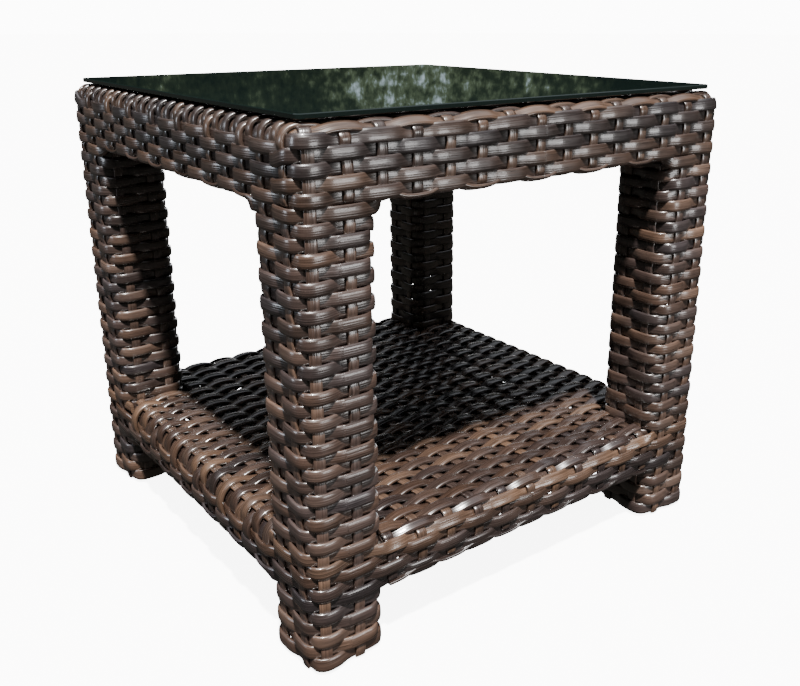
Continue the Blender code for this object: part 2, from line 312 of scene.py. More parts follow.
# ---------------------------------------------------------------- materials
def new_material(name):
    mat = bpy.data.materials.new(name)
    mat.use_nodes = True
    tree = mat.node_tree
    tree.nodes.clear()
    out = tree.nodes.new("ShaderNodeOutputMaterial")
    bsdf = tree.nodes.new("ShaderNodeBsdfPrincipled")
    tree.links.new(bsdf.outputs["BSDF"], out.inputs["Surface"])
    return mat, tree, bsdf


def node(tree, kind, **inputs):
    n = tree.nodes.new(kind)
    for key, value in inputs.items():
        n.inputs[key.replace("_", " ")].default_value = value
    return n


def math_node(tree, op, a, b=None, c=None, clamp=False):
    n = tree.nodes.new("ShaderNodeMath")
    n.operation = op
    n.use_clamp = clamp
    for k, x in enumerate((a, b, c)):
        if x is None:
            continue
        if isinstance(x, (int, float)):
            n.inputs[k].default_value = x
        else:
            tree.links.new(x, n.inputs[k])
    return n.outputs[0]


def wicker(name, shine=0.30, painted_shade_gain=1.0):
    """Resin strand: tint along the strand, lengthwise streaks and grooves; the gain factor scales the whole colour,
    and below 1 it paints shade into this copy of the resin.
    """
    mat, tree, bsdf = new_material(name)
    link = tree.links.new
    tint = tree.nodes.new("ShaderNodeAttribute"); tint.attribute_name = "tint"
    grain = tree.nodes.new("ShaderNodeAttribute"); grain.attribute_name = "grain"
    split = tree.nodes.new("ShaderNodeSeparateXYZ")
    link(grain.outputs["Vector"], split.inputs[0])
    along, across, ident = split.outputs

    def stretched(k_along, k_across, scale, detail):
        comb = tree.nodes.new("ShaderNodeCombineXYZ")
        link(math_node(tree, "MULTIPLY", along, k_along), comb.inputs[0])
        link(math_node(tree, "MULTIPLY", across, k_across), comb.inputs[1])
        link(ident, comb.inputs[2])
        n = node(tree, "ShaderNodeTexNoise", Scale=scale, Detail=detail, Roughness=0.55)
        link(comb.outputs[0], n.inputs["Vector"])
        return n.outputs["Fac"]

    streak = stretched(16.0, 520.0, 1.0, 3.0)       # long fine streaks
    fleck = stretched(120.0, 900.0, 1.0, 2.0)       # short flecks
    patch = stretched(22.0, 60.0, 1.0, 2.0)         # cloudy patches
    ripple = math_node(tree, "MULTIPLY_ADD", patch, 7.0, math_node(tree, "MULTIPLY", across, 2 * math.pi / 0.0021))
    groove = math_node(tree, "SINE", ripple)
    groove = math_node(tree, "MULTIPLY_ADD", groove, 0.5, 0.5)

    value = math_node(tree, "MULTIPLY_ADD", streak, 1.70, -0.08)
    value = math_node(tree, "ADD", value, math_node(tree, "MULTIPLY_ADD", fleck, 0.50, -0.25))
    value = math_node(tree, "ADD", value, math_node(tree, "MULTIPLY_ADD", patch, 0.90, -0.40))
    # painted shade: the grooves' troughs a little darker, in step with the bump's relief
    value = math_node(tree, "MULTIPLY_ADD", groove, 0.08, value)
    value = math_node(tree, "MAXIMUM", value, 0.12)
    # painted shade: the copy's gain darkens all of its colour
    value = math_node(tree, "MULTIPLY", value, painted_shade_gain)
    scaled = tree.nodes.new("ShaderNodeVectorMath"); scaled.operation = "SCALE"
    link(tint.outputs["Color"], scaled.inputs[0])
    link(value, scaled.inputs["Scale"])
    link(scaled.outputs[0], bsdf.inputs["Base Color"])

    rough = math_node(tree, "MULTIPLY_ADD", streak, 0.34, shine - 0.14)
    rough = math_node(tree, "MULTIPLY_ADD", fleck, 0.14, rough)
    link(rough, bsdf.inputs["Roughness"])
    height = math_node(tree, "MULTIPLY_ADD", streak, 1.3, math_node(tree, "MULTIPLY", groove, 0.28))
    height = math_node(tree, "MULTIPLY_ADD", fleck, 0.30, height)
    bump = node(tree, "ShaderNodeBump", Strength=0.55, Distance=0.00042)
    link(height, bump.inputs["Height"])
    link(bump.outputs[0], bsdf.inputs["Normal"])
    bsdf.inputs["Specular IOR Level"].default_value = 0.90
    bsdf.inputs["Coat Weight"].default_value = 0.42
    bsdf.inputs["Coat Roughness"].default_value = 0.11
    return mat


# Three copies of the one resin: the legs' keeps the plain colour, the top's and the shelf's are darker copies, painted
# shade.
WICKER_TOP_PAINTED_SHADE = wicker("resin_strand_top_painted_shade", shine=0.25, painted_shade_gain=0.64)
WICKER_LEG = wicker("resin_strand_leg", shine=0.25, painted_shade_gain=1.02)
WICKER_SHELF_PAINTED_SHADE = wicker("resin_strand_shelf_painted_shade", shine=0.17, painted_shade_gain=0.72)

# ---------------------------------------------------------------- the weave
table = Outline(0, 0, HALF, CORNER)
apron = Profile(TOP, APRON_LOW, 0.016, 0.009)
shelf = Profile(SHELF, SHELF_LOW, 0.024, 0.007)

OVER, UNDER = 0.0023, -0.0023          # wefts
RISE = 0.0010                          # stakes, the other way

A1 = apron.of_height(0.509)


def row_p(row):
    """Profile position of an apron row, 0 the uppermost on the face, negative on the top."""
    return A1 + ROW * row


APRON_DROP = [0.0088, 0.0056, 0.0036, 0.0020, 0.0008]      # how much lower the rows lie on the short sides
SHELF_DROP = [0.0, 0.0045, 0.0040, 0.0036]


def short_weight(v):
    """1 on a short side, 0 past its corners, by distance v from the side's middle."""
    t = np.clip((table.flat + 0.010 - np.abs(v)) / 0.026, 0, 1)
    return t * t * (3 - 2 * t)


def short_side(s):
    """The same weight by outline arclength: sides 1 and 3 are the short ones, +X and -X."""
    s = np.asarray(s, float)
    k = np.round(s / table.side).astype(int) % 4
    v = (s + table.side / 2) % table.side - table.side / 2
    return np.where(k % 2 == 1, short_weight(v), 0.0)


def apron_p(row, y):
    """Profile position of an apron row where a short side's strand crosses it at y."""
    drop = APRON_DROP[row] if 0 <= row < len(APRON_DROP) else 0.0
    return row_p(row) + drop * float(short_weight(y)) * (1.0 + 0.15 * (1 - min(1.0, abs(y) / 0.25)))


def row_z(row):
    """Height of a row on a leg's outside faces."""
    z = 0.509 - ROW * row
    return z - (0.0004 * (row - 34) if row > 34 else 0.0)


# stakes of the long sides (-Y, +Y): 15, and of the short sides (-X, +X): 16 that are every third top weft
STAKE_X = [-0.265 + 0.0371 * i for i in range(15)]
STAKE_X[-1] = 0.2565
TOP_ROWS = 50
TOP_Y0 = 0.2622
TOP_PITCH = 2 * TOP_Y0 / (TOP_ROWS - 3)
TURNED = [2, 6] + list(range(9, 46, 3)) + [49]


def top_y(m):
    return -TOP_Y0 + TOP_PITCH * (m - 2)


# y of the short sides' stakes lower on the face, by top row
LEG_Y = {2: -0.2570, 6: -0.2185, 45: 0.2185, 49: 0.2570}
LEG_X = {0: -0.2645, 1: -0.2255, 13: 0.2185, 14: 0.2555}


def outline_s(x, y):
    return table.near(x, y)


def side_crossings():
    """The stakes round the apron, counterclockwise from the -Y side: (arclength, index, weft over row 0)."""
    out = []
    for i, x in enumerate(STAKE_X):
        out.append((outline_s(x, -HALF), i % 2 == 0))
    for j, m in enumerate(TURNED):
        out.append((outline_s(HALF, LEG_Y.get(m, top_y(m))), j % 2 == 1))
    for j, i in enumerate(range(14, -1, -1)):
        out.append((outline_s(STAKE_X[i], HALF), j % 2 == 1))
    for j, m in enumerate(reversed(TURNED)):
        out.append((outline_s(-HALF, LEG_Y.get(m, top_y(m))), j % 2 == 0))
    return out


SIDE = side_crossings()

# shelf stakes: along Y at pitch 37.3, and two more outside the legs' inner faces
SHELF_X = {j: 0.0373 * j for j in range(-5, 6)}
SHELF_X.update({-7: -0.2620, -6: -0.2245, 6: 0.2245, 7: 0.2620})
SHELF_ROWS = 44
SHELF_Y0 = 0.2595                      # the second row from each long edge; the first lies on the rounding
SHELF_EDGE_P = 0.0143
SHELF_PITCH = 2 * SHELF_Y0 / (SHELF_ROWS - 3)
SHELF_FULL = range(8, 38)
SHELF_TURNED = [8, 11, 13, 16, 18, 21, 23, 26, 28, 31, 33, 36]
FAN = 1.0
SHELF_OVER, SHELF_UNDER = 0.0035, -0.0034


def shelf_y(n):
    if n in (1, SHELF_ROWS):
        y = HALF - float(shelf.at(SHELF_EDGE_P)[0])
        return -y if n == 1 else y
    return -SHELF_Y0 + SHELF_PITCH * (n - 2)


def shelf_edge(y):
    """Height of the shelf's top at y, and the normal's outward and upward parts, with the long edges' rounding."""
    c = max(0.0, (abs(y) - (HALF - shelf.rt)) / shelf.rt)
    up = math.sqrt(max(0.0, 1 - c * c))
    return SHELF - shelf.rt * (1 - up), math.copysign(c, y), up


def shelf_side():
    out = []
    long_x = [LEG_X[0], LEG_X[1]] + [SHELF_X[j] for j in range(-5, 6)] + [LEG_X[13], LEG_X[14]]
    short_y = [LEG_Y[2], LEG_Y[6]] + [shelf_y(n) * FAN for n in SHELF_TURNED] + [LEG_Y[45], LEG_Y[49]]    # even, so that the loops close
    for i, x in enumerate(long_x):
        out.append((outline_s(x, -HALF), i % 2 == 0))
    for j, y in enumerate(short_y):
        out.append((outline_s(HALF, y), j % 2 == 1))
    for j, x in enumerate(reversed(long_x)):
        out.append((outline_s(x, HALF), j % 2 == 1))
    for j, y in enumerate(reversed(short_y)):
        out.append((outline_s(-HALF, y), j % 2 == 0))
    return out


SHELF_SIDE = shelf_side()


def bay_weight(s):
    """1 in the bays between the legs, 0 on the legs, by outline arclength."""
    v = np.abs((np.asarray(s) + table.side / 2) % table.side - table.side / 2)
    t = np.clip((LEG_IN + 0.008 - v) / 0.016, 0, 1)
    return t * t * (3 - 2 * t)


def loop_row(bundle, profile, p, crossings, flip, leg_z=None, width=0.0133, drop=0.0, **look):
    """A row right round the table. Where a leg stands it follows height leg_z on the vertical face."""
    s = np.linspace(0, table.length, 3600, endpoint=False)
    v = (s + table.side / 2) % table.side - table.side / 2
    p = p + drop * short_side(s) * (1.0 + 0.15 * (1 - np.minimum(1.0, np.abs(v) / 0.25)))
    pts, nrm = on_profile(table, profile, s, p)
    if leg_z is not None:
        q, m = on_profile(table, profile, s, p)
        xy, n = table.at(s)
        q = np.concatenate([xy, np.full((len(s), 1), leg_z)], 1)
        m = np.concatenate([n, np.zeros((len(s), 1))], 1)
        w = bay_weight(s)[:, None]
        pts = pts * w + q * (1 - w)
        nrm = nrm * w + m * (1 - w)
    cross = []
    for at, over in crossings:
        k = int(round(at / table.length * 3600)) % 3600
        cross.append((pts[k], OVER if over != flip else UNDER))
    bundle.strand(pts, nrm, cross, width, WEFT_T, closed=True, scale=1.0 - (drop > 0) * 0.08 * short_side(s), **look)


def look_of_row(row):
    """Colour bias of a row by its number; upper apron rows are cooler, lower ones browner."""
    g = np.random.default_rng(900 + row)
    if row <= 2:
        return dict(warmth=0.12 + 0.1 * g.random(), light=-0.02)
    if row <= 5:
        return dict(warmth=0.75 + 0.2 * g.random(), light=0.0)
    return dict(warmth=g.uniform(0.05, 0.95), light=g.uniform(-0.42, 0.30))


# ---- apron rows
rows = Bundle("apron_rows")
for row in range(0, 6):
    loop_row(rows, apron, row_p(row), SIDE, row % 2 == 1, leg_z=row_z(row) if row > 4 else None,
             drop=APRON_DROP[row] if row < 5 else 0.0,
             wobble=0.0004, sharp=1.85, **look_of_row(row))
for side in range(4):
    quarter = side * table.side
    for row in (6, 7):
        s = np.linspace(quarter - LEG_IN + 0.002, quarter + LEG_IN - 0.002, 900)
        pts, nrm = on_profile(table, apron, s, row_p(row))
        cross = []
        for at, over in SIDE:
            v = (at - quarter + table.length / 2) % table.length - table.length / 2
            if abs(v) < LEG_IN - 0.003:
                cross.append((pts[np.argmin(abs(s - quarter - v))], OVER if over != (row % 2 == 1) else UNDER))
        rows.strand(pts, nrm, cross, 0.0129, WEFT_T, sharp=1.6, warmth=0.6, light=-0.3)

# ---- top wefts, along X
def over_edge(outline_x, y, y_low, profile, p_end, table_outline=table):
    """From the top face at height y, over the short side's edge and down to p_end. Side is the sign of outline_x."""
    sx = 1 if outline_x > 0 else -1
    p = np.linspace(-0.030, p_end, 260)
    t = np.clip((p + 0.030) / (0.030 + 0.020), 0, 1)
    t = t * t * (3 - 2 * t)
    yy = y + (y_low - y) * t
    s = np.array([0.0])
    # on the short side the outline's arclength is known from y directly
    flat = np.clip(yy, -table_outline.flat, table_outline.flat)
    extra = yy - flat
    ang = np.arcsin(np.clip(np.abs(extra) / table_outline.r, 0, 1)) * np.sign(extra)
    nx, ny = sx * np.cos(ang), np.sin(ang)
    ox = sx * (table_outline.flat + table_outline.r * np.cos(ang))
    oy = flat + table_outline.r * np.sin(ang)
    d, z, no, nz = profile.at(p)
    # inward motion is along X only on the top face, so that the weft stays straight there
    x = ox - nx * np.minimum(d, profile.rt) - sx * np.maximum(d - profile.rt, 0)
    yv = oy - ny * np.minimum(d, profile.rt)
    pts = np.stack([x, yv, z], -1)
    nrm = np.stack([nx * no, ny * no, nz], -1)
    return pts, nrm


def top_weft_path(y, y_low, profile, p_end):
    right, rn = over_edge(1, y, y_low, profile, p_end)
    left, ln = over_edge(-1, y, y_low, profile, p_end)
    x0, x1 = left[0, 0], right[0, 0]
    xs = np.linspace(x0, x1, 900)[1:-1]
    mid = np.stack([xs, np.full_like(xs, y), np.full_like(xs, profile.top)], -1)
    mn = np.tile([0.0, 0.0, 1.0], (len(xs), 1))
    pts = np.concatenate([left[::-1], mid, right])
    nrm = np.concatenate([ln[::-1], mn, rn])
    return pts, nrm


def slim_ends(pts):
    """The wefts lie a little apart where they turn over the short edges."""
    return 1.0 - 0.26 * np.clip((np.abs(pts[:, 0]) - (HALF - 0.024)) / 0.014, 0, 1)


top_wefts = Bundle("top_wefts")
P_T1 = row_p(-1)
leg_top_even, leg_top_odd = 4, 5      # rows that hide where leg strands meet apron strands
for m in range(1, TOP_ROWS + 1):
    y = top_y(m) if 2 <= m <= 49 else None
    look = dict(warmth=float(rng.uniform(0.2, 0.9)), light=float(rng.uniform(-0.3, 0.25)), sharp=1.25, wobble=0.0003)
    if y is None:
        # the rows on the rounded long edges follow the profile
        sy = -1 if m == 1 else 1
        d, z, no, nz = apron.at(np.array([P_T1]))
        yy = sy * (HALF - d[0])
        look.update(warmth=0.9, light=0.45, sharp=1.1)
        xs = np.linspace(-0.2555, 0.2555, 1200)
        pts = np.stack([xs, np.full_like(xs, yy), np.full_like(xs, z[0])], -1)
        nrm = np.tile([0.0, sy * no[0], nz[0]], (len(xs), 1))
        # the ends go round the corner and down
        corner = []
        a = np.linspace(0, math.radians(42), 60)
        rr = CORNER - d[0]
        for sx in (-1, 1):
            cx, cy = sx * (HALF - CORNER), sy * (HALF - CORNER)
            start_x = sx * 0.2555
            px = cx + sx * rr * np.sin(a)
            py = cy + sy * rr * np.cos(a)
            nx, ny = sx * np.sin(a), sy * np.cos(a)
            q = np.stack([px, py, np.full_like(px, z[0])], -1)
            qn = np.stack([nx * no[0], ny * no[0], np.full_like(px, nz[0])], -1)
            # then down behind the first face row
            pp = np.linspace(P_T1, A1 + 0.004, 60)[1:]
            dd, zz, noo, nzz = apron.at(pp)
            e = np.array([sx * math.sin(a[-1] + 0.25), sy * math.cos(a[-1] + 0.25)])
            q2 = np.stack([cx + e[0] * (CORNER - dd), cy + e[1] * (CORNER - dd), zz], -1)
            q2n = np.stack([e[0] * noo, e[1] * noo, nzz], -1)
            corner.append((np.concatenate([q, q2]), np.concatenate([qn, q2n])))
        pts = np.concatenate([corner[0][0][::-1], pts, corner[1][0]])
        nrm = np.concatenate([corner[0][1][::-1], nrm, corner[1][1]])
        cross = [(0.0, -0.0030)]
        for i, x in enumerate(STAKE_X):
            cross.append(((np.clip(x, -0.262, 0.262), yy, z[0]), OVER if (i + m) % 2 == 0 else UNDER))
        total = float(np.linalg.norm(np.diff(pts, axis=0), axis=1).sum())
        cross.append((total, -0.0030))
        top_wefts.strand(pts, nrm, cross, 0.0116, WEFT_T, step=0.0036, **look)
        continue
    if m in TURNED:
        j = TURNED.index(m)
        y_low = LEG_Y.get(m, y)
        leg_end = m in LEG_Y
        if leg_end:
            # meets the leg's stake behind a row that covers it
            last = leg_top_odd if j % 2 == 0 else leg_top_even
            p_end = row_p(last) if last < 5 else apron.of_height(row_z(5))
        else:
            p_end = apron.c + 0.024
        pts, nrm = top_weft_path(y, y_low, apron, p_end)
        cross = []
        for sx in (-1, 1):
            over_a1 = j % 2 == 0
            for row in range(0, 8):
                q, _ = over_edge(sx, y, y_low, apron, apron_p(row, y_low))
                if row_p(row) > p_end + 0.004:
                    break
                over = over_a1 if row % 2 == 0 else not over_a1
                cross.append((q[-1], (0.0022 if row == 0 else RISE) if over else -RISE))
        for i, x in enumerate(STAKE_X):
            cross.append(((np.clip(x, -0.2604, 0.2604), y, TOP), OVER if (i + m) % 2 == 0 else UNDER))
        top_wefts.strand(pts, nrm, cross, 0.0124, WEFT_T, step=0.0040, scale=slim_ends(pts), **look)
    else:
        p_end = apron_p(0, y) + 0.003 + float(rng.uniform(0, 0.002))
        pts, nrm = top_weft_path(y, y + float(rng.uniform(-0.0008, 0.0008)), apron, p_end)
        total = float(np.linalg.norm(np.diff(pts, axis=0), axis=1).sum())
        cross = [(0.0, -0.0030), (total, -0.0030)]
        for i, x in enumerate(STAKE_X):
            cross.append(((np.clip(x, -0.2604, 0.2604), y, TOP), OVER if (i + m) % 2 == 0 else UNDER))
        top_wefts.strand(pts, nrm, cross, 0.0124, WEFT_T, step=0.0040, scale=slim_ends(pts), **look)

# ---- top stakes, along Y, and down the long sides
top_stakes = Bundle("top_stakes")
for i, x in enumerate(STAKE_X):
    on_leg = i in LEG_X
    if on_leg:
        last = leg_top_even if i % 2 == 0 else leg_top_odd
        p_end = row_p(last) if last < 5 else apron.of_height(row_z(5))
    else:
        p_end = apron.c + 0.024
    halves = []
    x_low = LEG_X.get(i, x)
    for sy in (-1, 1):
        p = np.linspace(0.0, p_end, 240)
        t = np.clip((p - A1) / 0.04, 0, 1)
        t = t * t * (3 - 2 * t)
        s0 = outline_s(x, sy * HALF)
        s1 = outline_s(x_low, sy * HALF)
        q, n = on_profile(table, apron, s0 + (s1 - s0) * t, p)
        halves.append((q, n, s0, s1))
    xa = halves[0][0][0]
    xb = halves[1][0][0]
    ys = np.linspace(xa[1], xb[1], 1000)[1:-1]
    xs = np.interp(ys, [xa[1], xb[1]], [xa[0], xb[0]])
    mid = np.stack([xs, ys, np.full_like(xs, TOP)], -1)
    pts = np.concatenate([halves[0][0][::-1], mid, halves[1][0]])
    nrm = np.concatenate([halves[0][1][::-1], np.tile([0.0, 0.0, 1.0], (len(mid), 1)), halves[1][1]])
    cross = []
    for k, sy in enumerate((-1, 1)):
        q, n, s0, s1 = halves[k]
        p = np.linspace(0.0, p_end, 240)
        # weft over row 0: even i at -Y, odd i at +Y
        weft_over = (i % 2 == 0) if sy < 0 else (i % 2 == 1)
        for row in range(-1, 8):
            if row_p(row) > p_end + 0.004 or row_p(row) < 0:
                continue
            weft = weft_over if row % 2 == 0 else not weft_over
            at = q[np.argmin(abs(p - row_p(row)))]
            cross.append((at, -RISE if weft else (0.0016 if row in (-1, 0) else RISE)))
    for m in range(2, TOP_ROWS):
        cross.append(((xa[0], top_y(m), TOP), -0.0009 if (i + m) % 2 == 0 else 0.0009))
    top_stakes.strand(pts, nrm, cross, STAKE_W, STAKE_T, step=0.0030, sharp=0.8,
                      warmth=float(rng.uniform(0.55, 1.0)), light=float(rng.uniform(-0.05, 0.40)), wobble=0.0003)

# ---- shelf rows round the fascia
shelf_rows = Bundle("shelf_rows")
W1 = shelf.of_height(row_z(32))


def shelf_p(k):
    """Profile position of the shelf's rows, 0 the uppermost on the face."""
    return W1 + ROW * k + (0.0010 if k == 0 else 0.0) - (0.0014 if k > 3 else 0.0)


# the uppermost runs along the long sides and over the legs, and ends at the short sides' bays
for turn in (0, 2):
    reach = table.side - LEG_IN + 0.003
    s = turn * table.side + np.linspace(-reach, reach, 2600)
    w = (bay_weight(s) * (1 - short_side(s)))[:, None]
    pts, nrm = on_profile(table, shelf, s, shelf_p(0))
    xy, n = table.at(s)
    pts = pts * w + np.concatenate([xy, np.full((len(s), 1), row_z(32))], 1) * (1 - w)
    nrm = nrm * w + np.concatenate([n, np.zeros((len(s), 1))], 1) * (1 - w)
    cross = []
    for at, over in SHELF_SIDE:
        v = (at - turn * table.side + table.length / 2) % table.length - table.length / 2
        if abs(v) < reach - 0.004:
            cross.append((pts[np.argmin(abs(s - turn * table.side - v))], OVER if over else UNDER))
    cross += [(0.0, -0.0036), (float(np.linalg.norm(np.diff(pts, axis=0), axis=1).sum()), -0.0036)]
    shelf_rows.strand(pts, nrm, cross, 0.0126, WEFT_T, sharp=1.6, wobble=0.0004, warmth=0.80, light=0.50)

# core strands under the turned wefts of the short sides
for turn in (1, 3):
    for p in (shelf_p(0) - 0.0030, shelf_p(0) + 0.0085):
        s = turn * table.side + np.linspace(-LEG_IN + 0.001, LEG_IN - 0.001, 900)
        pts, nrm = on_profile(table, shelf, s, p)
        shelf_rows.strand(pts, nrm, [(0.0, -0.0040), (2 * LEG_IN - 0.002, -0.0040)], 0.0126, 0.0030, sharp=1.0, warmth=0.5, light=-0.3)

for k in range(1, 4):
    row = 32 + k
    loop_row(shelf_rows, shelf, shelf_p(k), SHELF_SIDE, row % 2 == 1, leg_z=row_z(row), wobble=0.0004, sharp=1.85,
             width=[0.0113, 0.0128, 0.0133, 0.0140][k], drop=SHELF_DROP[k], warmth=[0.6, 0.95, 0.35, 0.2][k], light=[0.1, 0.15, -0.1, -0.35][k])
for side in range(4):
    quarter = side * table.side
    for k in (4, 5):
        s = np.linspace(quarter - LEG_IN + 0.002, quarter + LEG_IN - 0.002, 900)
        pts, nrm = on_profile(table, shelf, s, shelf_p(k) + (0.0034 if side % 2 else 0.0))
        cross = []
        for at, over in SHELF_SIDE:
            v = (at - quarter + table.length / 2) % table.length - table.length / 2
            if abs(v) < LEG_IN - 0.003:
                cross.append((pts[np.argmin(abs(s - quarter - v))], OVER if over != (k % 2 == 1) else UNDER))
        shelf_rows.strand(pts, nrm, cross, 0.0144, WEFT_T, sharp=1.6, warmth=0.5, light=-0.4)

# ---- shelf wefts, along X
shelf_wefts = Bundle("shelf_wefts")
EDGE_IN = LEG_IN - 0.0006
for n in range(1, SHELF_ROWS + 1):
    y = shelf_y(n)
    look = dict(warmth=float(rng.uniform(0.1, 1.0)), light=float(rng.uniform(-0.40, 0.50)), sharp=1.12, wobble=0.0004, step=0.0034)
    low_at = SHELF_UNDER - 0.0004 if n in (1, SHELF_ROWS) else SHELF_UNDER
    over_at = lambda j: SHELF_OVER if (n + j) % 2 == 1 else low_at
    if n in SHELF_FULL:
        y_out = y * FAN
        if n in SHELF_TURNED:
            j = SHELF_TURNED.index(n)
            p_end = shelf.c + 0.024
            extra = []
            for sx in (-1, 1):
                for k in range(1, 6):
                    q, _ = over_edge(sx, y_out, y_out, shelf, shelf_p(k) + (SHELF_DROP[k] if k < 4 else 0.0034))
                    over_row = (j % 2 == 0) == (k % 2 == 0)
                    extra.append((q[-1], (0.0020 if k == 1 else RISE) if over_row else -RISE))
        else:
            p_end = shelf_p(1) + SHELF_DROP[1] + 0.003
            extra = "tuck"
        pts, nrm = top_weft_path(y_out, y_out, shelf, p_end)
        blend = np.clip((np.abs(pts[:, 0]) - (LEG_IN - 0.045)) / 0.040, 0, 1)
        blend = blend * blend * (3 - 2 * blend)
        flat_part = np.abs(pts[:, 0]) < HALF - 0.02
        pts[flat_part, 1] = (y + (y_out - y) * blend)[flat_part]
        total = float(np.linalg.norm(np.diff(pts, axis=0), axis=1).sum())
        cross = [(0.0, -0.0030), (total, -0.0030)] if extra == "tuck" else list(extra)
        for j, x in SHELF_X.items():
            yy = y_out if abs(j) > 5 else y
            cross.append(((x, yy, SHELF), over_at(j)))
        shelf_wefts.strand(pts, nrm, cross, 0.0134, WEFT_T, **look)
    else:
        xs = np.linspace(-EDGE_IN, EDGE_IN, 900)
        z, out, up = shelf_edge(y)
        pts = np.stack([xs, np.full_like(xs, y), np.full_like(xs, z)], -1)
        nrm = np.tile([0.0, out, up], (len(xs), 1))
        cross = [((SHELF_X[j], y, z), over_at(j)) for j in range(-5, 6)]
        if n in (1, SHELF_ROWS):
            look.update(warmth=0.35, light=-0.05)
        shelf_wefts.strand(pts, nrm, cross, 0.0112 if n in (1, SHELF_ROWS) else 0.0134, WEFT_T, **look)

# ---- shelf stakes, along Y
shelf_stakes = Bundle("shelf_stakes")
for j, x in SHELF_X.items():
    look = dict(warmth=float(rng.uniform(0.1, 0.6)), light=float(rng.uniform(0.10, 0.50)), sharp=0.8, wobble=0.0003, step=0.0032)
    if abs(j) > 5:
        reach = LEG_IN - 0.0006
        ys = np.linspace(-reach, reach, 900)
        pts = np.stack([np.full_like(ys, x), ys, np.full_like(ys, SHELF)], -1)
        nrm = np.tile([0.0, 0.0, 1.0], (len(ys), 1))
        if abs(x) > HALF - shelf.rt:
            d = HALF - abs(x)
            c = (shelf.rt - d) / shelf.rt
            pts[:, 2] = SHELF - shelf.rt + shelf.rt * math.sqrt(1 - c * c)
            nrm = np.tile([math.copysign(c, x), 0.0, math.sqrt(1 - c * c)], (len(ys), 1))
        cross = [((x, shelf_y(n) * FAN, SHELF), -0.0010 if (n + j) % 2 == 1 else 0.0010) for n in SHELF_FULL]
        shelf_stakes.strand(pts, nrm, cross, STAKE_W, STAKE_T, **look)
        continue
    p_end = shelf.c + 0.024
    halves = []
    for sy in (-1, 1):
        p = np.linspace(0.0, p_end, 240)
        halves.append(on_profile(table, shelf, np.full_like(p, outline_s(x, sy * HALF)), p))
    ya, yb = halves[0][0][0][1], halves[1][0][0][1]
    ys = np.linspace(ya, yb, 1000)[1:-1]
    mid = np.stack([np.full_like(ys, halves[0][0][0][0]), ys, np.full_like(ys, SHELF)], -1)
    pts = np.concatenate([halves[0][0][::-1], mid, halves[1][0]])
    nrm = np.concatenate([halves[0][1][::-1], np.tile([0.0, 0.0, 1.0], (len(mid), 1)), halves[1][1]])
    cross = []
    for k2, sy in enumerate((-1, 1)):
        q, _ = halves[k2]
        p = np.linspace(0.0, p_end, 240)
        weft_over = (j % 2 != 0) if sy < 0 else (j % 2 == 0)
        for k in range(0, 6):
            weft = weft_over if k % 2 == 0 else not weft_over
            cross.append((q[np.argmin(abs(p - shelf_p(k)))], -RISE if weft else (0.0030 if k == 0 else RISE)))
    for n in range(1, SHELF_ROWS + 1):
        cross.append(((x, shelf_y(n), shelf_edge(shelf_y(n))[0]), -0.0010 if (n + j) % 2 == 1 else (0.0030 if n in (1, SHELF_ROWS) else 0.0010)))
    shelf_stakes.strand(pts, nrm, cross, STAKE_W, STAKE_T, **look)

# ---- shelf underside, a plain weave between the turned-in ends
shelf_under = Bundle("shelf_underside")
UNDER_IN = HALF - shelf.rl - 0.019
for n in range(3, SHELF_ROWS - 2):
    y = shelf_y(n) + SHELF_PITCH / 2
    if abs(y) > UNDER_IN - 0.006:
        continue
    reach = UNDER_IN if abs(y) < LEG_IN - 0.006 else LEG_IN - 0.0006
    xs = np.linspace(-reach, reach, 700)
    pts = np.stack([xs, np.full_like(xs, y), np.full_like(xs, SHELF_LOW)], -1)
    nrm = np.tile([0.0, 0.0, -1.0], (len(xs), 1))
    cross = [((x, y, SHELF_LOW), OVER if (n + j) % 2 == 0 else UNDER) for j, x in SHELF_X.items() if abs(x) < reach]
    shelf_under.strand(pts, nrm, cross, 0.0150, WEFT_T, sharp=1.3, step=0.0044,
                       warmth=float(rng.uniform(0.1, 1.0)), light=float(rng.uniform(-0.35, 0.2)))
for j, x in SHELF_X.items():
    if abs(j) > 6:
        continue
    reach = UNDER_IN if abs(j) < 6 else LEG_IN - 0.0006
    ys = np.linspace(-reach, reach, 700)
    pts = np.stack([np.full_like(ys, x), ys, np.full_like(ys, SHELF_LOW)], -1)
    nrm = np.tile([0.0, 0.0, -1.0], (len(ys), 1))
    cross = []
    for n in range(3, SHELF_ROWS - 2):
        y = shelf_y(n) + SHELF_PITCH / 2
        if abs(y) < min(reach, UNDER_IN - 0.006):
            cross.append(((x, y, SHELF_LOW), -0.0010 if (n + j) % 2 == 0 else 0.0010))
    shelf_under.strand(pts, nrm, cross, STAKE_W * 1.7, STAKE_T, sharp=0.8, step=0.0044,
                       warmth=float(rng.uniform(0.3, 0.9)), light=float(rng.uniform(-0.2, 0.3)))

# ---- legs
# stakes by arclength from the middle of the -Y face, and whether even rows pass over them
side = 2 * (LEG / 2 - CORNER) + CORNER * math.pi / 2


def face_s(face, u):
    """Arclength on a leg for a place u along a face, from its middle: faces 0 -Y, 1 +X, 2 +Y, 3 -X, counterclockwise."""
    return face * side + u


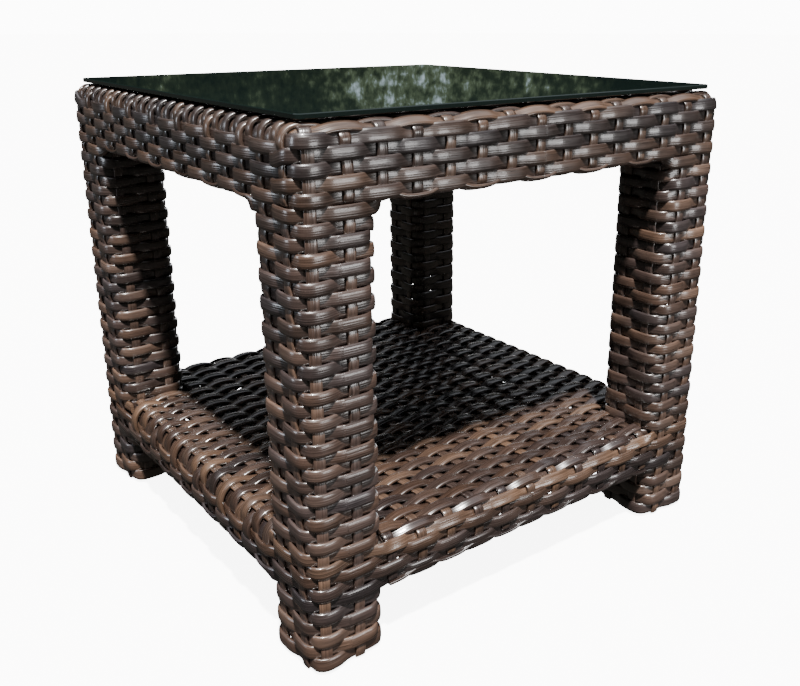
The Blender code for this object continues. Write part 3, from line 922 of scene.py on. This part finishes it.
def leg_stakes(name):
    c = LEG_AT
    xa, xb, xc, xd = LEG_X[0], LEG_X[1], LEG_X[13], LEG_X[14]
    ya, yb, yc, yd = LEG_Y[2], LEG_Y[6], LEG_Y[45], LEG_Y[49]
    if name == "front_left":
        pts = [(xa, -HALF), (xb, -HALF)], True, [(-HALF, yb), (-HALF, ya)], True
        o = Outline(-c, -c, LEG / 2, CORNER)
        outer = [(o.near(*pts[0][0]), True), (o.near(*pts[0][1]), False), (o.near(*pts[2][0]), True), (o.near(*pts[2][1]), False)]
        inner = [(face_s(1, -0.019), True), (face_s(1, 0.0205), False), (face_s(2, -0.0170), True), (face_s(2, 0.0230), False)]
    elif name == "front_right":
        o = Outline(c, -c, LEG / 2, CORNER)
        outer = [(o.near(xc, -HALF), False), (o.near(xd, -HALF), True), (o.near(HALF, ya), False), (o.near(HALF, yb), True)]
        inner = [(face_s(2, -0.020), False), (face_s(2, 0.019), True), (face_s(3, -0.020), False), (face_s(3, 0.0195), True)]
    elif name == "back_right":
        o = Outline(c, c, LEG / 2, CORNER)
        outer = [(o.near(HALF, yc), False), (o.near(HALF, yd), True), (o.near(xd, HALF), False), (o.near(xc, HALF), True)]
        inner = [(face_s(3, -0.020), False), (face_s(3, 0.019), True), (face_s(4, -0.020), False), (face_s(4, 0.019), True)]
    else:
        o = Outline(-c, c, LEG / 2, CORNER)
        outer = [(o.near(-HALF, yc), False), (o.near(-HALF, yd), True), (o.near(xa, HALF), False), (o.near(xb, HALF), True)]
        # the order round the leg is +Y, -X, -Y, +X
        inner = [(face_s(4, -0.020), True), (face_s(4, 0.019), False), (face_s(1, -0.020), True), (face_s(1, 0.019), False)]
    both = [(s % o.length, e, True) for s, e in outer] + [(s % o.length, e, False) for s, e in inner]
    return o, sorted(both)


def inner_weight(o, s, sx, sy):
    """1 on the two faces of a leg that look into the table, 0 on the outside ones."""
    xy, n = o.at(s)
    return np.clip(0.5 - (n[:, 0] * sx + n[:, 1] * sy) * 1.2, 0, 1)


LEGS = {"front_left": (-1, -1), "front_right": (1, -1), "back_left": (-1, 1), "back_right": (1, 1)}
leg_bundles = {}
for name, (sx, sy) in LEGS.items():
    b = Bundle(name + "_leg_strands")
    o, stakes = leg_stakes(name)
    signs = [e for _, e, _ in stakes]
    for k in range(len(signs)):
        if signs[k] == signs[k - 1]:
            print("leg", name, "has two alike stakes at", stakes[k - 1], stakes[k])
    S = np.linspace(0, o.length, 1200, endpoint=False)
    xy, nn = o.at(S)
    w_in = inner_weight(o, S, sx, sy)
    for row in range(5, 41):
        z = np.full(len(S), row_z(row))
        if row < 10:
            z = z - w_in * 0.0009 * (10 - row)
        pts = np.concatenate([xy, z[:, None]], 1)
        nrm = np.concatenate([nn, np.zeros((len(S), 1))], 1)
        flip = row % 2 == 1
        heights = [(s, OVER if e != flip else UNDER, outer) for s, e, outer in stakes]
        look = look_of_row(row + 57 * (2 + sx) + 131 * (2 + sy)) if row > 5 else look_of_row(5)
        if row == 5 or 32 <= row <= 35:
            # these rows go on round the table, so only the inner faces are strands of the leg
            inner_arc = np.where(w_in > 0.02)[0]
            jump = np.where(np.diff(inner_arc) > 1)[0]
            if len(jump):
                inner_arc = np.concatenate([inner_arc[jump[0] + 1:], inner_arc[:jump[0] + 1]])
            arc_pts, arc_n = pts[inner_arc], nrm[inner_arc]
            cross = [(pts[int(round(s / o.length * 1200)) % 1200], h) for s, h, outer in heights if not outer]
            length = float(np.linalg.norm(np.diff(arc_pts, axis=0), axis=1).sum())
            cross += [(0.0, -0.0034), (length, -0.0034)]
            b.strand(arc_pts, arc_n, cross, 0.0129, WEFT_T, sharp=1.85, **look)
        else:
            cross = [(pts[int(round(s / o.length * 1200)) % 1200], h) for s, h, _ in heights]
            b.strand(pts, nrm, cross, 0.0129 if row < 34 else (0.0136 if row < 39 else 0.0146), WEFT_T, closed=True, sharp=1.85, step=0.0031, wobble=0.0003, **look)
    for s, even_over, outer in stakes:
        top_z = row_z(4 if even_over else 5) - 0.0003 if outer else row_z(5) - 0.0025
        zs = np.linspace(FOOT - 0.0030, top_z, 900)
        p, n = o.at(np.array([s]))
        pts = np.concatenate([np.tile(p, (len(zs), 1)), zs[:, None]], 1)
        nrm = np.concatenate([np.tile(n, (len(zs), 1)), np.zeros((len(zs), 1))], 1)
        cross = [(0.0, -0.0006)]
        for row in range(4, 41):
            z = row_z(row)
            if FOOT - 0.001 < z < top_z + 0.003:
                over = even_over if row % 2 == 0 else not even_over
                cross.append(((p[0, 0], p[0, 1], z), -RISE if over else RISE))
        b.strand(pts, nrm, cross, STAKE_W, STAKE_T, sharp=0.8, step=0.0030,
                 warmth=float(rng.uniform(0.2, 0.85)), light=float(rng.uniform(-0.10, 0.28)), wobble=0.0002)
    leg_bundles[name] = b

pieces = []
for bundle, mat, nodes, slot in (
    (rows, WICKER_TOP_PAINTED_SHADE, ("woven_top",), "wicker_top"),
    (top_wefts, WICKER_TOP_PAINTED_SHADE, (), "wicker_top"),
    (top_stakes, WICKER_TOP_PAINTED_SHADE, (), "wicker_top"),
    (shelf_rows, WICKER_SHELF_PAINTED_SHADE, ("woven_shelf",), "wicker_shelf"),
    (shelf_wefts, WICKER_SHELF_PAINTED_SHADE, (), "wicker_shelf"),
    (shelf_stakes, WICKER_SHELF_PAINTED_SHADE, (), "wicker_shelf"),
    (shelf_under, WICKER_SHELF_PAINTED_SHADE, (), "wicker_shelf"),
):
    obj = bundle.build(mat)
    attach(obj, "table")
    if nodes:
        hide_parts(*nodes)
    pieces.append(obj)
for name, bundle in leg_bundles.items():
    obj = bundle.build(WICKER_LEG)
    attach(obj, "table")
    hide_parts(name + "_leg_weave")
    pieces.append(obj)
print("strand faces", {o.name: len(o.data.polygons) for o in pieces})

# ---------------------------------------------------------------- CAD nodes kept, with their own materials


def speckled(name, colour, rough, metallic=0.0, scale=900.0, depth=0.00008, spread=0.25):
    """Powder coat or moulded plastic: fine orange peel."""
    mat, tree, bsdf = new_material(name)
    link = tree.links.new
    coord = tree.nodes.new("ShaderNodeTexCoord")
    n = node(tree, "ShaderNodeTexNoise", Scale=scale, Detail=3.0, Roughness=0.6)
    big = node(tree, "ShaderNodeTexNoise", Scale=scale / 30, Detail=3.0, Roughness=0.6)
    link(coord.outputs["Object"], n.inputs["Vector"])
    link(coord.outputs["Object"], big.inputs["Vector"])
    ramp = tree.nodes.new("ShaderNodeValToRGB")
    ramp.color_ramp.elements[0].position = 0.3
    ramp.color_ramp.elements[1].position = 0.7
    ramp.color_ramp.elements[0].color = (*[c * (1 - spread) for c in colour], 1)
    ramp.color_ramp.elements[1].color = (*[c * (1 + spread) for c in colour], 1)
    link(math_node(tree, "MULTIPLY_ADD", n.outputs["Fac"], 0.5, math_node(tree, "MULTIPLY", big.outputs["Fac"], 0.5)), ramp.inputs[0])
    link(ramp.outputs[0], bsdf.inputs["Base Color"])
    link(math_node(tree, "MULTIPLY_ADD", n.outputs["Fac"], 0.16, rough - 0.08), bsdf.inputs["Roughness"])
    bump = node(tree, "ShaderNodeBump", Strength=0.5, Distance=depth)
    link(n.outputs["Fac"], bump.inputs["Height"])
    link(bump.outputs[0], bsdf.inputs["Normal"])
    bsdf.inputs["Metallic"].default_value = metallic
    return mat


def smoked_glass():
    mat, tree, bsdf = new_material("smoked_glass")
    link = tree.links.new
    coord = tree.nodes.new("ShaderNodeTexCoord")
    n = node(tree, "ShaderNodeTexNoise", Scale=6.0, Detail=4.0, Roughness=0.55)
    link(coord.outputs["Object"], n.inputs["Vector"])
    ramp = tree.nodes.new("ShaderNodeValToRGB")
    ramp.color_ramp.elements[0].color = (0.0040, 0.0072, 0.0066, 1)
    ramp.color_ramp.elements[1].color = (0.0060, 0.0110, 0.0098, 1)
    link(n.outputs["Fac"], ramp.inputs[0])
    link(ramp.outputs[0], bsdf.inputs["Base Color"])
    link(math_node(tree, "MULTIPLY_ADD", n.outputs["Fac"], 0.02, 0.012), bsdf.inputs["Roughness"])
    wave = node(tree, "ShaderNodeTexNoise", Scale=9.0, Detail=1.0, Roughness=0.4)
    link(coord.outputs["Object"], wave.inputs["Vector"])
    bump = node(tree, "ShaderNodeBump", Strength=0.10, Distance=0.0004)
    link(wave.outputs["Fac"], bump.inputs["Height"])
    link(bump.outputs[0], bsdf.inputs["Normal"])
    bsdf.inputs["IOR"].default_value = 1.52
    bsdf.inputs["Specular IOR Level"].default_value = 0.5
    return mat


def clear_soft():
    mat, tree, bsdf = new_material("clear_bumper")
    link = tree.links.new
    coord = tree.nodes.new("ShaderNodeTexCoord")
    n = node(tree, "ShaderNodeTexNoise", Scale=400.0, Detail=2.0, Roughness=0.5)
    link(coord.outputs["Object"], n.inputs["Vector"])
    link(math_node(tree, "MULTIPLY_ADD", n.outputs["Fac"], 0.12, 0.10), bsdf.inputs["Roughness"])
    bsdf.inputs["Base Color"].default_value = (0.80, 0.84, 0.83, 1)
    bsdf.inputs["Transmission Weight"].default_value = 0.75
    bsdf.inputs["IOR"].default_value = 1.49
    bump = node(tree, "ShaderNodeBump", Strength=0.2, Distance=0.0001)
    link(n.outputs["Fac"], bump.inputs["Height"])
    link(bump.outputs[0], bsdf.inputs["Normal"])
    return mat


GLASS = smoked_glass()
PAD = clear_soft()
TUBE = speckled("frame_coat", (0.030, 0.023, 0.019), 0.46, metallic=0.0)
PLATE = speckled("plate_coat", (0.026, 0.021, 0.018), 0.50)
GLIDE = speckled("glide_plastic", (0.012, 0.012, 0.012), 0.55, scale=600.0)

for name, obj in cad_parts.items():
    if name == "glass_top":
        mat = GLASS
    elif name.startswith("glass_pad"):
        mat = PAD
    elif "glide" in name:
        mat = GLIDE
    elif "foot_plate" in name:
        mat = PLATE
    else:
        mat = TUBE
    obj.data.materials.clear()
    obj.data.materials.append(mat)

# ---------------------------------------------------------------- floor, backdrop, light


def stage_mesh(name, verts, faces, mat, smooth=False):
    mesh = bpy.data.meshes.new(name)
    mesh.from_pydata(verts, [], faces)
    mesh.update()
    if smooth:
        mesh.polygons.foreach_set("use_smooth", [True] * len(mesh.polygons))
    mesh.materials.append(mat)
    obj = bpy.data.objects.new(name, mesh)
    bpy.context.scene.collection.objects.link(obj)
    return obj


yaw = math.radians(37.53)
PALE = 12.0                             # radiance of the lit floor and of the backdrop

floor_mat, tree, bsdf = new_material("pale_floor")
bsdf.inputs["Base Color"].default_value = (0.86, 0.86, 0.865, 1)
bsdf.inputs["Roughness"].default_value = 0.9
bsdf.inputs["Specular IOR Level"].default_value = 0.1
bsdf.inputs["Emission Color"].default_value = (1.0, 1.0, 1.0, 1)
bsdf.inputs["Emission Strength"].default_value = 7.5
wall_mat, tree, bsdf = new_material("pale_backdrop")
bsdf.inputs["Base Color"].default_value = (0, 0, 0, 1)
bsdf.inputs["Roughness"].default_value = 1.0
bsdf.inputs["Specular IOR Level"].default_value = 0.0
bsdf.inputs["Emission Color"].default_value = (1.0, 1.0, 1.0, 1)
bsdf.inputs["Emission Strength"].default_value = PALE
for mat in (floor_mat, wall_mat):
    mat.cycles.emission_sampling = "NONE"
FAR = 30.0
ring = [(FAR * math.cos(a), FAR * math.sin(a)) for a in np.linspace(0, 2 * math.pi, 97)[:-1]]
N = len(ring)
floor = stage_mesh("floor", [(x, y, 0.0) for x, y in ring], [tuple(range(N))], floor_mat)
wall = stage_mesh("backdrop", [(x, y, 0.0) for x, y in ring] + [(x, y, 45.0) for x, y in ring],
                  [(k, k + N, (k + 1) % N + N, (k + 1) % N) for k in range(N)], wall_mat)
for obj in (floor, wall):
    obj.visible_diffuse = False
    obj.visible_glossy = False
    obj.visible_shadow = False

# the surroundings that light the table: bright sky, dark foliage low down, dim ground
world = bpy.context.scene.world or bpy.data.worlds.new("studio")
bpy.context.scene.world = world
world.use_nodes = True
wt = world.node_tree
wt.nodes.clear()
bg = wt.nodes.new("ShaderNodeBackground")
wo = wt.nodes.new("ShaderNodeOutputWorld")
wt.links.new(bg.outputs[0], wo.inputs["Surface"])
direction = wt.nodes.new("ShaderNodeTexCoord").outputs["Generated"]
parts = wt.nodes.new("ShaderNodeSeparateXYZ")
wt.links.new(direction, parts.inputs[0])
leaves = node(wt, "ShaderNodeTexNoise", Scale=95.0, Detail=6.0, Roughness=0.72)
clumps = node(wt, "ShaderNodeTexNoise", Scale=9.0, Detail=2.0, Roughness=0.5)
wt.links.new(direction, leaves.inputs["Vector"])
wt.links.new(direction, clumps.inputs["Vector"])
gaps = math_node(wt, "MULTIPLY_ADD", clumps.outputs["Fac"], 0.55, math_node(wt, "MULTIPLY", leaves.outputs["Fac"], 0.62))
foliage = wt.nodes.new("ShaderNodeValToRGB")
foliage.color_ramp.elements[0].position = 0.50
foliage.color_ramp.elements[0].color = (0.003, 0.005, 0.004, 1)
foliage.color_ramp.elements[1].position = 0.80
foliage.color_ramp.elements[1].color = (0.80, 1.0, 1.15, 1)
mid = foliage.color_ramp.elements.new(0.62)
mid.color = (0.024, 0.033, 0.018, 1)
pale_leaf = foliage.color_ramp.elements.new(0.71)
pale_leaf.color = (0.14, 0.18, 0.105, 1)
wt.links.new(gaps, foliage.inputs[0])
edge = math_node(wt, "MULTIPLY_ADD", clumps.outputs["Fac"], 0.25, parts.outputs[2])
above = math_node(wt, "MULTIPLY", math_node(wt, "SUBTRACT", edge, 0.66), 9.0, clamp=True)
below = math_node(wt, "MULTIPLY_ADD", parts.outputs[2], -30.0, 0.5, clamp=True)
sky = wt.nodes.new("ShaderNodeMix"); sky.data_type = "RGBA"
wt.links.new(above, sky.inputs[0])
wt.links.new(foliage.outputs[0], sky.inputs[6])
sky.inputs[7].default_value = (0.90, 0.94, 1.02, 1)
ground = wt.nodes.new("ShaderNodeMix"); ground.data_type = "RGBA"
wt.links.new(below, ground.inputs[0])
wt.links.new(sky.outputs[2], ground.inputs[6])
ground.inputs[7].default_value = (0.085, 0.080, 0.072, 1)
hedge = math_node(wt, "MULTIPLY_ADD", math_node(wt, "ABSOLUTE", math_node(wt, "SUBTRACT", parts.outputs[2], 0.36)), -12.0, 2.9, clamp=True)
darker = wt.nodes.new("ShaderNodeVectorMath"); darker.operation = "SCALE"
wt.links.new(ground.outputs[2], darker.inputs[0])
wt.links.new(math_node(wt, "MULTIPLY_ADD", hedge, -0.80, 1.0), darker.inputs["Scale"])
wt.links.new(darker.outputs[0], bg.inputs["Color"])
bg.inputs["Strength"].default_value = 0.86


sun = bpy.data.lights.new("key", "SUN")
sun.energy = 14.5
sun.angle = math.radians(3.0)
sun.color = (1.0, 0.975, 0.94)
sun_obj = bpy.data.objects.new("key", sun)
bpy.context.scene.collection.objects.link(sun_obj)


def softbox(name, at, size, power, colour, receivers):
    """A soft box aimed at the table. It lights only the named pieces, as flags and cards would arrange in a studio."""
    light = bpy.data.lights.new(name, "AREA")
    light.shape = "RECTANGLE"
    light.size, light.size_y = size
    light.energy = power
    light.color = colour
    obj = bpy.data.objects.new(name, light)
    bpy.context.scene.collection.objects.link(obj)
    obj.location = at
    obj.rotation_euler = (Vector((0, 0, 0.28)) - obj.location).to_track_quat("-Z", "Y").to_euler()
    obj.visible_camera = False
    group = bpy.data.collections.new(name + "_lit")
    for piece in receivers:
        group.objects.link(piece)
    obj.light_linking.receiver_collection = group


weave = {o.name: o for o in pieces}
solid = [o for n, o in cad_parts.items() if n != "glass_top"]


def lit(*left_out):
    return [o for n, o in weave.items() if n not in left_out] + solid


INSIDE = ("shelf_wefts", "shelf_stakes", "shelf_underside")
softbox("soft_front", (0.85, -2.95, 0.46), (1.5, 0.8), 42, (1.0, 0.985, 0.98),
        lit(*INSIDE, "back_left_leg_strands", "back_right_leg_strands"))
softbox("soft_left", (-2.7, 0.9, 1.0), (1.1, 0.8), 27, (0.84, 0.90, 1.0),
        lit(*INSIDE, "front_right_leg_strands", "back_right_leg_strands"))
softbox("soft_back", (1.9, 2.3, 1.1), (2.2, 1.3), 60, (0.95, 0.97, 1.0), lit(*INSIDE))
# a narrow strip low behind the table, for the thin glints along the wefts in the shelf's shade
softbox("soft_strip", (1.5, 2.4, 0.20), (2.4, 0.22), 4.2, (0.98, 0.97, 1.0), [weave["shelf_wefts"]])
sun_dir = Vector((-0.19, -0.38, 0.905))
sun_obj.location = sun_dir * 4
sun_obj.rotation_euler = (-sun_dir).to_track_quat("-Z", "Y").to_euler()

# ---------------------------------------------------------------- camera
cam_data = bpy.data.cameras.new("camera")
cam_data.sensor_width = 36.0
cam_data.lens = 909.78 / 800 * 36.0
cam_data.shift_x = (400 - 430.2) / 800
cam_data.shift_y = (298.2 - 343) / 800
cam_data.clip_end = 200
cam = bpy.data.objects.new("camera", cam_data)
bpy.context.scene.collection.objects.link(cam)
pitch, roll = math.radians(-17.37), math.radians(0.06)
fwd = Vector((math.sin(yaw) * math.cos(pitch), math.cos(yaw) * math.cos(pitch), math.sin(pitch)))
right = Vector((math.cos(yaw), -math.sin(yaw), 0))
up = right.cross(fwd)
m = Matrix((right, up, -fwd)).transposed().to_4x4()
m = m @ Matrix.Rotation(roll, 4, "Z")
m.translation = Vector((-0.6283, -0.9119, 0.6053))
cam.matrix_world = m
bpy.context.scene.camera = cam

bpy.context.view_layer.update()
